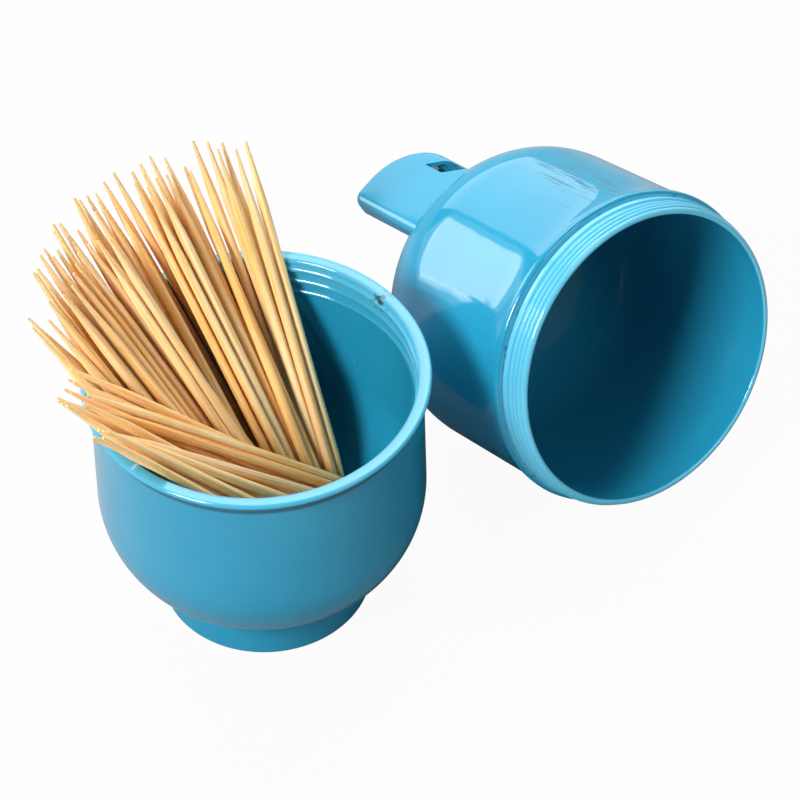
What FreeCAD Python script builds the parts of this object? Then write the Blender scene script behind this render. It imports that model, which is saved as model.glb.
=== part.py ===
import FreeCAD, Part
import math
import os

import Sketcher
from FreeCAD import Placement, Rotation, Vector

# A round toothpick dispenser, open: the cup stands on its foot and holds a leaning bundle
# of toothpicks, and the domed lid with its flat spout lies beside it.
#
# Frame: the origin is the centre of the cup's foot on the table, Z points up and the lid
# lies towards +X. Lengths are in millimetres, angles in degrees.
#
# The lid and the spout are drawn in the lid's own frame: the origin is the centre of the
# lid's mouth, Z runs to the crown and the spout is on the +X side.

doc = FreeCAD.newDocument("toothpick_dispenser")
sheet = doc.addObject("Spreadsheet::Sheet", "Sizes")

sizes = {
    # Cup
    "cup_height": 46.3,
    "bore_radius": 24.9,
    "cup_wall": 0.8,
    "floor_radius": 14.9,       # of the flat floor, where the bowl's bend meets it
    "bowl_curve": 17.0,         # inner radius of the bowl's bend
    "foot_radius": 16.5,
    "foot_draft": 0.6,          # how much the foot ring narrows up to the bowl
    "foot_ring_wall": 1.4,
    "foot_recess": 6.2,
    "floor_thickness": 1.2,
    "foot_round": 0.4,
    # Lip of the cup
    "lip_overhang": 1.3,        # past the outside of the wall
    "lip_thickness": 0.8,
    "lip_round": 0.3,
    "lip_groove_depth": 0.35,
    "lip_groove_height": 0.6,
    # Lid
    "neck_clearance": 0.25,     # between the lid's neck and the cup's bore
    "neck_wall": 1.05,
    "neck_length": 5.2,
    "neck_groove_depth": 0.45,  # round the neck, under the collar
    "neck_groove_height": 0.6,
    "collar_overhang": 1.15,    # past the neck
    "collar_thickness": 1.2,
    "collar_round": 0.3,
    "side_step": 0.6,           # from the collar in to the side
    "side_draft": 0.5,          # how much the side narrows up to the shoulder
    "shoulder_height": 28.8,    # where the dome starts
    "shoulder_curve": 16.1,
    "crown_curve": 37.8,
    "dome_wall": 1.1,
    "mouth_round": 0.3,
    # Spout
    "spout_inset": 3.4,         # of its outer face, from the dome's widest part
    "spout_width": 13.9,
    "spout_thickness": 4.0,
    "spout_wall": 0.8,
    "spout_rise": 7.2,          # of its lower end above the shoulder
    "spout_length": 18.0,
    "spout_round": 1.2,
    "nose_sweep": 9.2,          # radius of the nose's wide corner
    "nose_corner": 2.0,         # radius of its tight corner
    "spout_clearance": 0.1,     # between the spout and its port in the dome
    "channel_round": 0.5,
    "window_length": 8.0,
    "window_width": 2.6,
    "window_setback": 11.8,     # of its middle from the nose
    "window_offset": 5.4,
    "window_turn": 19.0,
    # How the lid lies beside the cup
    "lid_heading": 129.4,       # way from the mouth to the crown, about Z from +X
    "lid_rise": 17.2,           # how far the mouth is raised
    "lid_roll": -20.0,          # spout off the top of the lid, about the lid's axis
    "lid_gap": 4.1,             # between the lip and the lid's side
    "lid_lead": 26.8,           # the mouth's lead past the cup, along the lid's axis
    # Toothpicks
    "pick_length": 65.0,
    "pick_radius": 0.86,
    "pick_taper": 11.0,
    "pick_tip_radius": 0.25,
    "pick_gap": 0.05,           # left between neighbours in the bundle
    "pick_pieces": 57,          # the picks are shared out among this many pieces
    # Each group of picks: how many, the ways they lean, about Z from +X, the middle of
    # their lower ends, how far these scatter and how high over the floor they are, and how
    # many picks deep the group lies on the rim.
    "back_picks": 12,
    "back_start": 82.0,
    "back_end": 112.0,
    "back_foot_x": 11.0,
    "back_foot_y": 1.0,
    "back_foot_spread": 5.5,
    "back_foot_lift": 0.0,
    "back_first_layer": 0,
    "back_layers": 2,
    "rear_picks": 45,
    "rear_start": 112.0,
    "rear_end": 184.0,
    "rear_foot_x": 6.5,
    "rear_foot_y": -2.0,
    "rear_foot_spread": 11.0,
    "rear_foot_lift": 0.0,
    "rear_first_layer": 0,
    "rear_layers": 4,
    "front_picks": 20,
    "front_start": 190.5,
    "front_end": 226.0,
    "front_foot_x": 12.5,
    "front_foot_y": 4.0,
    "front_foot_spread": 3.0,
    "front_foot_lift": 7.0,
    "front_first_layer": 0,
    "front_layers": 3,
}

for row, (alias, number) in enumerate(sizes.items(), start=1):
    sheet.set(f"A{row}", alias)
    sheet.set(f"B{row}", str(number))
    sheet.setAlias(f"B{row}", alias)
doc.recompute()


class Size:
    """A length and the spreadsheet expression that gives it."""

    def __init__(self, value, text):
        self.value = value
        self.text = text

    def __add__(self, other):
        return combine(self, "+", other)

    def __sub__(self, other):
        return combine(self, "-", other)

    def __mul__(self, other):
        return combine(self, "*", other)

    def __truediv__(self, other):
        return combine(self, "/", other)

    def __neg__(self):
        return Size(-self.value, f"(-{self.text})")

    def root(self):
        return Size(math.sqrt(self.value), f"sqrt({self.text})")

    def sine(self):
        return Size(math.sin(math.radians(self.value)), f"sin({self.text})")

    def cosine(self):
        return Size(math.cos(math.radians(self.value)), f"cos({self.text})")


def combine(left, sign, right):
    if not isinstance(right, Size):
        right = Size(right, str(right))
    results = {
        "+": left.value + right.value,
        "-": left.value - right.value,
        "*": left.value * right.value,
    }
    value = left.value / right.value if sign == "/" else results[sign]
    return Size(value, f"({left.text} {sign} {right.text})")


def size(alias):
    return Size(getattr(sheet, alias), f"Sizes.{alias}")


def leg(hypotenuse, side):
    """The other short side of a right-angled triangle."""
    return (hypotenuse * hypotenuse - side * side).root()


# --- Sketches and features -------------------------------------------------------------

ON_AXIS = None      # a coordinate that is exactly zero


def number_of(coordinate):
    return 0.0 if coordinate is ON_AXIS else coordinate.value


def arc_between(start, end, radius, turn):
    """The shorter arc from start to end; turn is 1 to the left and -1 to the right."""
    chord = end - start
    middle = start + chord * 0.5
    reach = math.sqrt(max(radius ** 2 - chord.Length ** 2 / 4, 0.0))
    side = Vector(-chord.y, chord.x, 0).normalize()
    centre = middle + side * (reach * turn)
    circle = Part.Circle(centre, Vector(0, 0, 1), radius)
    first, last = (start, end) if turn > 0 else (end, start)
    angles = [math.atan2(p.y - centre.y, p.x - centre.x) for p in (first, last)]
    return Part.ArcOfCircle(circle, *angles)


def pin(sketch, element, point, x, y):
    """Hold one end of a sketch element at x, y by dimensions from the sketch's origin."""
    for kind, axis, coordinate in (("DistanceX", -2, x), ("DistanceY", -1, y)):
        if coordinate is ON_AXIS:
            sketch.addConstraint(Sketcher.Constraint("PointOnObject", element, point, axis))
            continue
        rule = Sketcher.Constraint(kind, -1, 1, element, point, coordinate.value)
        index = sketch.addConstraint(rule)
        sketch.setExpression(f"Constraints[{index}]", coordinate.text)


def draw(body, name, plane, outline, lift=None):
    """A closed sketch through the corners (x, y). A corner written (x, y, radius, turn)
    is joined to the next one by an arc, the others by straight edges."""
    sketch = body.newObject("Sketcher::SketchObject", name)
    sketch.AttachmentSupport = next(
        feature for feature in body.Origin.OriginFeatures if feature.Role == plane
    )
    sketch.MapMode = "FlatFace"
    if lift is not None:
        sketch.setExpression("AttachmentOffset.Base.z", lift.text)
    points = [Vector(number_of(corner[0]), number_of(corner[1]), 0) for corner in outline]
    ends = []
    for index, corner in enumerate(outline):
        start = points[index]
        end = points[(index + 1) % len(points)]
        if len(corner) == 2:
            element = sketch.addGeometry(Part.LineSegment(start, end))
            ends.append((element, 1, 2))
            continue
        radius, turn = corner[2:]
        element = sketch.addGeometry(arc_between(start, end, radius.value, turn))
        bound = sketch.addConstraint(Sketcher.Constraint("Radius", element, radius.value))
        sketch.setExpression(f"Constraints[{bound}]", radius.text)
        ends.append((element, 1, 2) if turn > 0 else (element, 2, 1))
    for index, (element, head, tail) in enumerate(ends):
        after, after_head, _ = ends[(index + 1) % len(ends)]
        sketch.addConstraint(Sketcher.Constraint("Coincident", element, tail, after, after_head))
        pin(sketch, element, head, outline[index][0], outline[index][1])
    return sketch


def revolve(body, name, sketch):
    feature = body.newObject("PartDesign::Revolution", name)
    feature.Profile = sketch
    feature.ReferenceAxis = (sketch, ["V_Axis"])
    feature.Angle = 360
    return feature


def pad(body, name, sketch, length):
    feature = body.newObject("PartDesign::Pad", name)
    feature.Profile = sketch
    feature.setExpression("Length", length.text)
    return feature


def cut_through(body, name, sketch):
    """Pocket along the sketch's normal through all that is there."""
    before = body.Shape.Volume
    feature = body.newObject("PartDesign::Pocket", name)
    feature.Profile = sketch
    feature.Type = 1
    feature.Reversed = True
    doc.recompute()
    if not body.Shape.Volume < before:
        raise ValueError(f"{name} cuts nothing")
    return feature


def round_edges(body, name, base, radius, chosen):
    """Fillet the edges of the base feature for which chosen(edge) is true."""
    doc.recompute()
    edges = [
        f"Edge{index}" for index, edge in enumerate(base.Shape.Edges, start=1) if chosen(edge)
    ]
    feature = body.newObject("PartDesign::Fillet", name)
    feature.Base = (base, edges)
    feature.setExpression("Radius", radius.text)
    return feature


def ring_at(radius, height):
    """Choose the circular edge with this radius at this height."""
    def chosen(edge):
        if edge.Degenerated:
            return False
        curve = edge.Curve
        return (
            isinstance(curve, Part.Circle)
            and abs(curve.Radius - radius.value) < 1e-4
            and abs(curve.Center.z - height.value) < 1e-4
            and abs(curve.Axis.z) > 0.999
        )
    return chosen


def any_of(*tests):
    return lambda edge: any(test(edge) for test in tests)


def new_body(label):
    body = doc.addObject("PartDesign::Body", label)
    body.Label = label
    return body


# --- Cup -------------------------------------------------------------------------------

ZERO = Size(0.0, "0")

cup_height = size("cup_height")
bore_radius = size("bore_radius")
cup_wall = size("cup_wall")
lip_radius = bore_radius + cup_wall + size("lip_overhang")
cup_floor = size("foot_recess") + size("floor_thickness")
floor_radius = size("floor_radius")
bowl_curve = size("bowl_curve")
bowl_centre = bore_radius - bowl_curve
bowl_height = cup_floor + leg(bowl_curve, floor_radius - bowl_centre)


def make_cup():
    """A thin wall of revolution: lip, straight bore, round bowl, floor and foot ring."""
    body = new_body("cup")
    outer_curve = bowl_curve + cup_wall
    outer_radius = bore_radius + cup_wall
    foot_radius = size("foot_radius")
    foot_neck = foot_radius - size("foot_draft")
    foot_inner = foot_radius - size("foot_ring_wall")
    neck_height = bowl_height - leg(outer_curve, foot_neck - bowl_centre)
    lip_under = cup_height - size("lip_thickness")
    groove_radius = outer_radius - size("lip_groove_depth")
    groove_foot = lip_under - size("lip_groove_height")
    wall = draw(body, "cup_section", "XZ_Plane", [
        (foot_inner, ON_AXIS),
        (foot_radius, ON_AXIS),
        (foot_neck, neck_height, outer_curve, 1),
        (outer_radius, bowl_height),
        (outer_radius, groove_foot),
        (groove_radius, groove_foot),
        (groove_radius, lip_under),
        (lip_radius, lip_under),
        (lip_radius, cup_height),
        (bore_radius, cup_height),
        (bore_radius, bowl_height, bowl_curve, -1),
        (floor_radius, cup_floor),
        (ON_AXIS, cup_floor),
        (ON_AXIS, size("foot_recess")),
        (foot_inner, size("foot_recess")),
    ])
    turned = revolve(body, "cup_wall", wall)
    lip = round_edges(body, "lip_rounds", turned, size("lip_round"), any_of(
        ring_at(lip_radius, lip_under),
        ring_at(lip_radius, cup_height),
        ring_at(bore_radius, cup_height),
    ))
    round_edges(body, "foot_rounds", lip, size("foot_round"), any_of(
        ring_at(foot_radius, ZERO),
        ring_at(foot_inner, ZERO),
    ))
    return body


# --- Lid -------------------------------------------------------------------------------

neck_outer = bore_radius - size("neck_clearance")
collar_radius = neck_outer + size("collar_overhang")
side_radius = collar_radius - size("side_step")
shoulder_radius = side_radius - size("side_draft")
shoulder_height = size("shoulder_height")
shoulder_curve = size("shoulder_curve")
shoulder_centre = shoulder_radius - shoulder_curve


def make_lid_shell():
    """The moulded dome: a neck that carries the thread, a groove, a collar that lands on
    the lip, an almost straight side, and two tangent arcs for the shoulder and the crown,
    with the spout's port."""
    body = new_body("lid_shell")
    neck_inner = neck_outer - size("neck_wall")
    neck_length = size("neck_length")
    groove_foot = neck_length - size("neck_groove_height")
    groove_radius = neck_outer - size("neck_groove_depth")
    collar_top = neck_length + size("collar_thickness")
    crown_curve = size("crown_curve")
    wall = size("dome_wall")
    inner_shoulder = shoulder_radius - wall

    # The crown's centre is on the axis, where the two arcs share a tangent.
    between = crown_curve - shoulder_curve
    crown_centre = shoulder_height - leg(between, shoulder_centre)
    across = shoulder_centre / between
    along = (shoulder_height - crown_centre) / between
    outer_join = (crown_curve * across, crown_centre + crown_curve * along)
    inner_crown = crown_curve - wall
    inner_join = (inner_crown * across, crown_centre + inner_crown * along)

    section = draw(body, "lid_section", "XZ_Plane", [
        (neck_inner, ON_AXIS),
        (neck_outer, ON_AXIS),
        (neck_outer, groove_foot),
        (groove_radius, groove_foot),
        (groove_radius, neck_length),
        (collar_radius, neck_length),
        (collar_radius, collar_top),
        (side_radius, collar_top),
        (shoulder_radius, shoulder_height, shoulder_curve, 1),
        outer_join + (crown_curve, 1),
        (ON_AXIS, crown_centre + crown_curve),
        (ON_AXIS, crown_centre + inner_crown, inner_crown, -1),
        inner_join + (shoulder_curve - wall, -1),
        (inner_shoulder, shoulder_height),
        (neck_inner, collar_top),
    ])
    turned = revolve(body, "dome", section)
    mouth = round_edges(body, "mouth_rounds", turned, size("mouth_round"), any_of(
        ring_at(neck_inner, ZERO),
        ring_at(neck_outer, ZERO),
    ))
    round_edges(body, "collar_rounds", mouth, size("collar_round"), any_of(
        ring_at(collar_radius, neck_length),
        ring_at(collar_radius, collar_top),
    ))
    doc.recompute()
    clearance = size("spout_clearance")
    port = draw(
        body, "port_outline", "XY_Plane",
        spout_section(clearance, size("spout_round") + clearance),
        lift=spout_base - clearance,
    )
    cut_through(body, "spout_port", port)
    return body


# --- Spout -----------------------------------------------------------------------------

spout_face = shoulder_radius - size("spout_inset")
spout_back = spout_face - size("spout_thickness")
spout_half = size("spout_width") / 2
spout_base = shoulder_height + size("spout_rise")
spout_nose = spout_base + size("spout_length")


def spout_section(grow, corner):
    """The spout's cross-section seen along the lid's axis, offset outwards by grow and
    with corners of the given radius."""
    low = spout_back - grow
    high = spout_face + grow
    half = spout_half + grow
    return [
        (low + corner, -half),
        (high - corner, -half, corner, 1),
        (high, corner - half),
        (high, half - corner, corner, 1),
        (high - corner, half),
        (low + corner, half, corner, 1),
        (low, half - corner),
        (low, corner - half, corner, 1),
    ]


def window_outline():
    """A slot with round ends, turned so that its lower end runs out of the spout's side."""
    turn = size("window_turn")
    radius = size("window_width") / 2
    reach = size("window_length") / 2 - radius
    middle = (size("window_offset"), spout_nose - size("window_setback"))
    along = (-turn.sine(), turn.cosine())
    side = (turn.cosine(), turn.sine())

    def corner(lengthways, sideways):
        return tuple(
            middle[i] + along[i] * (reach * lengthways) + side[i] * (radius * sideways)
            for i in (0, 1)
        )
    # Each round end is two quarter arcs, so that every arc is shorter than a half-turn.
    tips = [
        tuple(middle[i] + along[i] * ((reach + radius) * end) for i in (0, 1))
        for end in (1, -1)
    ]
    return [
        corner(-1, 1),
        corner(1, 1) + (radius, 1),
        tips[0] + (radius, 1),
        corner(1, -1),
        corner(-1, -1) + (radius, 1),
        tips[1] + (radius, 1),
    ]


def make_spout():
    """A flat chute, one pick deep, that passes through the dome. The nose has one wide and
    one tight corner, and the window shows the pick that comes out."""
    body = new_body("spout")
    sweep = size("nose_sweep")
    corner = size("nose_corner")
    outline = draw(body, "spout_outline", "YZ_Plane", [
        (-spout_half, spout_base),
        (spout_half, spout_base),
        (spout_half, spout_nose - sweep, sweep, 1),
        (spout_half - sweep, spout_nose),
        (corner - spout_half, spout_nose, corner, 1),
        (-spout_half, spout_nose - corner),
    ], lift=spout_back)
    block = pad(body, "spout_block", outline, size("spout_thickness"))

    def broad_face_edge(edge):
        box = edge.BoundBox
        return box.XLength < 1e-4 and box.ZMax > spout_base.value + 1e-4

    round_edges(body, "spout_rounds", block, size("spout_round"), broad_face_edge)
    doc.recompute()
    channel = draw(
        body, "channel_section", "XY_Plane",
        spout_section(-size("spout_wall"), size("channel_round")),
    )
    cut_through(body, "channel", channel)
    window = draw(body, "window_slot", "YZ_Plane", window_outline())
    cut_through(body, "window", window)
    return body


def lid_placement():
    """Lay the lid on its dome beside the cup, with the mouth raised and turned forwards."""
    rise = size("lid_rise")
    heading = size("lid_heading").value
    turn = (
        Rotation(Vector(0, 0, 1), heading)
        * Rotation(Vector(0, 1, 0), 90 + rise.value)
        * Rotation(Vector(0, 0, 1), 180 + size("lid_roll").value)
    )
    # The shoulder's arc touches the table.
    height = shoulder_height * rise.sine() + shoulder_centre * rise.cosine() + shoulder_curve
    apart = lip_radius + side_radius + size("lid_gap")
    away = Rotation(Vector(0, 0, 1), heading - 90).multVec(Vector(apart.value, 0, 0))
    lead = Rotation(Vector(0, 0, 1), heading).multVec(Vector(-size("lid_lead").value, 0, 0))
    return Placement(away + lead + Vector(0, 0, height.value), turn)


# --- Toothpicks ------------------------------------------------------------------------

def make_toothpick(label):
    """A round pick pointed at both ends, standing on its tip at the origin."""
    body = new_body(label)
    length = size("pick_length")
    radius = size("pick_radius")
    taper = size("pick_taper")
    tip = size("pick_tip_radius")
    section = draw(body, f"{label}_section", "XZ_Plane", [
        (ON_AXIS, ON_AXIS),
        (tip, ON_AXIS),
        (radius, taper),
        (radius, length - taper),
        (tip, length),
        (ON_AXIS, length),
    ])
    revolve(body, f"{label}_turned", section)
    return body


pick_length = sheet.pick_length
pick_radius = sheet.pick_radius
pick_gap = sheet.pick_gap
rim = sheet.cup_height
bore = sheet.bore_radius
standing_room = sheet.pick_tip_radius + pick_gap
standing_height = cup_floor.value + standing_room
standing_radius = sheet.floor_radius - standing_room

ROUNDS = 500            # most turns that the bundle takes to settle
SINK = 0.08             # how far the tips drop in the first turn
STILL = 0.004           # the bundle is settled when no overlap is deeper
PUSH = 0.45             # share of an overlap that each of two picks gives way
JITTER = 1.7            # of a pick's turn in its fan, in steps from pick to pick
WATCH = 3.0             # only picks that are this near each other can come to touch
REVIEW = 15             # turns between two looks for such picks


class Pick:
    """One straight pick of the bundle, from its lower end, the foot, to its tip. It either
    stands on the cup's floor or lies over picks that do."""

    def __init__(self, foot, towards, stands):
        self.foot = foot
        self.tip = foot + (towards - foot).normalize() * pick_length
        self.stands = stands
        self.hold()

    def sink(self, depth):
        if not self.stands:
            self.foot.z -= depth
        self.tip.z -= depth

    def hold(self):
        """Keep the foot on the floor, or in the bowl, and the tip at its distance."""
        out = math.hypot(self.foot.x, self.foot.y)
        height = standing_height
        limit = standing_radius
        if not self.stands:
            height = max(self.foot.z, standing_height)
            drop = max(bowl_height.value - height, 0)
            room = bowl_curve.value - 2 * standing_room
            limit = bowl_centre.value + math.sqrt(room ** 2 - drop ** 2)
        inside = limit / max(out, limit)
        self.foot = Vector(self.foot.x * inside, self.foot.y * inside, height)
        self.way = (self.tip - self.foot).normalize()
        self.tip = self.foot + self.way * pick_length

    def shift(self, along, move):
        """Move the point at this distance along the pick, which tilts the pick too."""
        share = along / pick_length
        scale = 1 / ((1 - share) ** 2 + share ** 2)
        self.foot += move * ((1 - share) * scale)
        self.tip += move * (share * scale)

    def placement(self):
        return Placement(self.foot, Rotation(Vector(0, 0, 1), self.way))


def clamp(value, low, high):
    return min(max(value, low), high)


def closest(first, second):
    """Where two picks pass each other: the distance along each, and the gap between."""
    apart = first.foot - second.foot
    lean = first.way.dot(second.way)
    near = first.way.dot(apart)
    far = second.way.dot(apart)
    spread = 1 - lean * lean
    along = pick_length / 2
    if spread > 1e-6:
        along = clamp((lean * far - near) / spread, 0, pick_length)
    other = lean * along + far
    if not 0 <= other <= pick_length:
        other = clamp(other, 0, pick_length)
        along = clamp(lean * other - near, 0, pick_length)
    return along, other, apart + first.way * along - second.way * other


def part_neighbours(first, second):
    """Push two picks apart where they overlap, and return how deep they were."""
    along, other, apart = closest(first, second)
    depth = 2 * pick_radius + pick_gap - apart.Length
    if depth <= 0:
        return 0.0
    push = apart * (PUSH * depth / apart.Length)
    first.shift(along, push)
    second.shift(other, -push)
    return depth


def rest_on_rim(pick):
    """Keep a pick off the inner edge of the lip, and return how deep it was."""
    along = (rim - pick.foot.z) / pick.way.z
    crossing = pick.foot + pick.way * along
    outwards = Vector(crossing.x, crossing.y, 0).normalize()
    tangent = Vector(-outwards.y, outwards.x, 0)
    inwards = pick.way.cross(tangent).normalize()
    if inwards.dot(outwards) > 0:
        inwards = -inwards
    edge = Vector(outwards.x * bore, outwards.y * bore, rim)
    depth = pick_radius + pick_gap - (crossing - edge).dot(inwards)
    if depth <= 0:
        return 0.0
    pick.tip += inwards * (depth * pick_length / along)
    return depth


def uneven(index, series):
    """A repeatable number from -0.5 to 0.5 that jumps about from one pick to the next."""
    golden = 0.6180339887
    shuffle = 0.37
    return (index * golden + series * shuffle) % 1.0 - 0.5


def flat_way(degrees):
    """The level unit vector that points this way about Z."""
    return Vector(math.cos(math.radians(degrees)), math.sin(math.radians(degrees)), 0)


def fan(group):
    """Picks of one group, spread in angle and stacked in layers. The feet keep the order
    of the tips, and a higher layer stands further back, so that few picks cross."""
    def given(name):
        return getattr(sheet, f"{group}_{name}")

    count = int(given("picks"))
    layers = int(given("layers"))
    lift = given("foot_lift")
    gathered = Vector(given("foot_x"), given("foot_y"), standing_height + lift)
    start = given("start")
    reach = given("end") - start
    across = flat_way(start + reach / 2 + 90)
    picks = []
    for index in range(count):
        share = (index + 0.5 + JITTER * uneven(index, 0)) / count
        leans = flat_way(start + reach * share)
        layer = given("first_layer") + index % layers
        scatter = Vector(uneven(index, 1), uneven(index, 2), 0) * pick_radius
        foot = gathered + scatter + across * (given("foot_spread") * (share - 0.5))
        foot -= leans * (2 * pick_radius * layer)
        over = Vector(0, 0, rim + pick_radius * (1 + 2 * layer))
        towards = leans * (bore - pick_radius) + over
        picks.append(Pick(foot, towards, stands=lift == 0))
    return picks


def settle(picks):
    """Let the tips sink until the picks lie on the rim and on each other."""
    quiet = ROUNDS * 3 // 4
    reach = 2 * pick_radius + WATCH
    for turn in range(ROUNDS):
        for pick in picks:
            pick.sink(SINK * max(1 - turn / quiet, 0))
            pick.hold()
        if turn % REVIEW == 0:
            neighbours = [
                (first, second)
                for index, first in enumerate(picks)
                for second in picks[:index]
                if closest(first, second)[2].Length < reach
            ]
        deepest = 0.0
        for first, second in neighbours:
            deepest = max(deepest, part_neighbours(first, second))
        for pick in picks:
            pick.hold()
            deepest = max(deepest, rest_on_rim(pick))
            pick.hold()
        if turn > quiet and deepest < STILL:
            break
    return deepest


def make_toothpicks():
    """The bundle: links to one turned pick. The picks past the last piece join the first
    pieces, two to a piece."""
    picks = fan("back") + fan("rear") + fan("front")
    settle(picks)
    pattern = make_toothpick("toothpick")
    count = int(sheet.pick_pieces)
    pieces = []
    for number in range(1, count + 1):
        places = [pick.placement() for pick in picks[number - 1::count]]
        link = doc.addObject("App::Link", f"toothpick_{number:02d}")
        link.Label = link.Name
        link.LinkedObject = pattern
        link.LinkTransform = False
        link.ShowElement = False
        link.ElementCount = len(places)
        link.PlacementList = places
        pieces.append(link)
    return pieces


# --- Build, check and write ------------------------------------------------------------

def build():
    cup = make_cup()
    lid_shell = make_lid_shell()
    spout = make_spout()
    for piece in (lid_shell, spout):
        piece.Placement = lid_placement()
    return [cup, lid_shell, spout] + make_toothpicks()


def write(pieces):
    doc.recompute()
    for item in doc.Objects:
        if "Invalid" in item.State or "Error" in item.State:
            raise ValueError(f"{item.Label} did not compute")
    shapes = {piece.Label: Part.getShape(piece) for piece in pieces}
    for label, shape in shapes.items():
        solids = shape.Solids
        if shape.isNull() or not shape.isValid() or not solids:
            raise ValueError(f"{label} is not valid")
        if label in ("cup", "lid_shell", "spout") and len(solids) != 1:
            raise ValueError(f"{label} is not one solid")
    os.makedirs("parts", exist_ok=True)
    for label, shape in shapes.items():
        shape.exportStep(f"parts/{label}.step")


write(build())
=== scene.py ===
import math
import random

import bmesh
import bpy
from mathutils import Matrix, Vector, noise


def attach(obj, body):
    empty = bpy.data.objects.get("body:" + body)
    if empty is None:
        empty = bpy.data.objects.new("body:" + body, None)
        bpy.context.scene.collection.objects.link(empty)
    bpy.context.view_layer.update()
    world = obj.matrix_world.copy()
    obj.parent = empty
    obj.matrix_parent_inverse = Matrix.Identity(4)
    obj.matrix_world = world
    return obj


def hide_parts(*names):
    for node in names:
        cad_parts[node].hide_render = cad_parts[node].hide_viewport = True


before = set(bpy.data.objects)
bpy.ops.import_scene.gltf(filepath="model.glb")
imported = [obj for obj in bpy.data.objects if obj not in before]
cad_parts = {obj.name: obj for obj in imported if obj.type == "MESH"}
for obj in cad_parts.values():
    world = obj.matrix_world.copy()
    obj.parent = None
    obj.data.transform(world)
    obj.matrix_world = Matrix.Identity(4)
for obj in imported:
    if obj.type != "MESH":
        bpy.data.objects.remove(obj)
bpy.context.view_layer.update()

mm = 0.001
cm = 0.01
print("frame:", len(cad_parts), "nodes")


# outlines, as (radius, height) in mm

def arc(centreX, centreZ, radius, startAngle, endAngle, steps):
    angles = [startAngle + (endAngle - startAngle) * i / steps for i in range(steps + 1)]
    return [
        (centreX + radius * math.cos(math.radians(a)), centreZ + radius * math.sin(math.radians(a)))
        for a in angles
    ]


def rounded(corner, before, after, radius, steps=4):
    # the points of a small round in place of a corner
    corner, before, after = Vector(corner), Vector(before), Vector(after)
    toBefore = (before - corner).normalized()
    toAfter = (after - corner).normalized()
    half = toBefore.angle(toAfter) / 2
    reach = radius / math.tan(half)
    centre = corner + (toBefore + toAfter).normalized() * radius / math.sin(half)
    first = corner + toBefore * reach - centre
    last = corner + toAfter * reach - centre
    points = []
    for i in range(steps + 1):
        mixed = first.lerp(last, i / steps).normalized() * radius
        points.append(tuple(centre + mixed))
    return points


def roundCorners(outline, radii):
    # radii is {index of a corner: radius}
    result = []
    for index, point in enumerate(outline):
        if index in radii:
            before, after = outline[index - 1], outline[(index + 1) % len(outline)]
            result += rounded(point, before, after, radii[index])
        else:
            result.append(point)
    return result


# mesh helpers

creaseAngle = 32      # edges that turn more than this stay sharp


def lathe(outline, steps):
    # the outline turned about z
    mesh = bmesh.new()
    verts = [mesh.verts.new((r * mm, 0, z * mm)) for r, z in outline]
    edges = [mesh.edges.new(pair) for pair in zip(verts, verts[1:])]
    bmesh.ops.spin(
        mesh, geom=verts + edges, cent=(0, 0, 0), axis=(0, 0, 1),
        angle=math.tau, steps=steps, use_merge=True,
    )
    bmesh.ops.remove_doubles(mesh, verts=mesh.verts, dist=1e-7)
    bmesh.ops.dissolve_degenerate(mesh, dist=1e-8, edges=mesh.edges)
    bmesh.ops.recalc_face_normals(mesh, faces=mesh.faces)
    return mesh


def smoothExceptCreases(mesh, angle=creaseAngle):
    for face in mesh.faces:
        face.smooth = True
    for edge in mesh.edges:
        edge.smooth = len(edge.link_faces) == 2 and edge.calc_face_angle(0) < math.radians(angle)


def toObject(mesh, name, place=Matrix.Identity(4)):
    bmesh.ops.transform(mesh, matrix=place, verts=mesh.verts)
    data = bpy.data.meshes.new(name)
    mesh.to_mesh(data)
    mesh.free()
    piece = bpy.data.objects.new(name, data)
    bpy.context.scene.collection.objects.link(piece)
    return piece


def carve(piece, tool):
    cut = piece.modifiers.new("cut", "BOOLEAN")
    cut.object = tool
    cut.operation = "DIFFERENCE"
    cut.solver = "EXACT"
    graph = bpy.context.evaluated_depsgraph_get()
    carved = bpy.data.meshes.new_from_object(piece.evaluated_get(graph))
    piece.modifiers.clear()
    piece.data = carved
    bpy.data.objects.remove(tool)


def creaseAgain(piece, angle=creaseAngle):
    mesh = bmesh.new()
    mesh.from_mesh(piece.data)
    smoothExceptCreases(mesh, angle)
    mesh.to_mesh(piece.data)
    mesh.free()


def roundEdges(mesh, edges, radius, segments, clamp=False):
    bmesh.ops.bevel(
        mesh, geom=edges, offset=radius * mm, segments=segments, profile=0.5,
        affect="EDGES", material=-1, clamp_overlap=clamp,
    )


def slab(low, high, cornerRadius=0.0, along="Z"):
    # a block between two corners in mm, its edges along one axis rounded
    mesh = bmesh.new()
    bmesh.ops.create_cube(mesh, size=1)
    size = [(h - l) * mm for l, h in zip(low, high)]
    middle = [(h + l) / 2 * mm for l, h in zip(low, high)]
    bmesh.ops.scale(mesh, vec=size, verts=mesh.verts)
    bmesh.ops.translate(mesh, vec=middle, verts=mesh.verts)
    if cornerRadius:
        axis = "XYZ".index(along)
        edges = [
            e for e in mesh.edges
            if abs((e.verts[0].co - e.verts[1].co).normalized()[axis]) > 0.9
        ]
        roundEdges(mesh, edges, cornerRadius, 6)
    return mesh


# threads

# the section of a ridge, as shares of its height and of its widths
ridgeShape = {
    "shoulder": 0.85, "footWidth": 0.96, "shoulderWidth": 1.25, "topWidth": 0.7,
    "stepsPerTurn": 120, "leastHeight": 0.02, "creaseAngle": 60,
}


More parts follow.
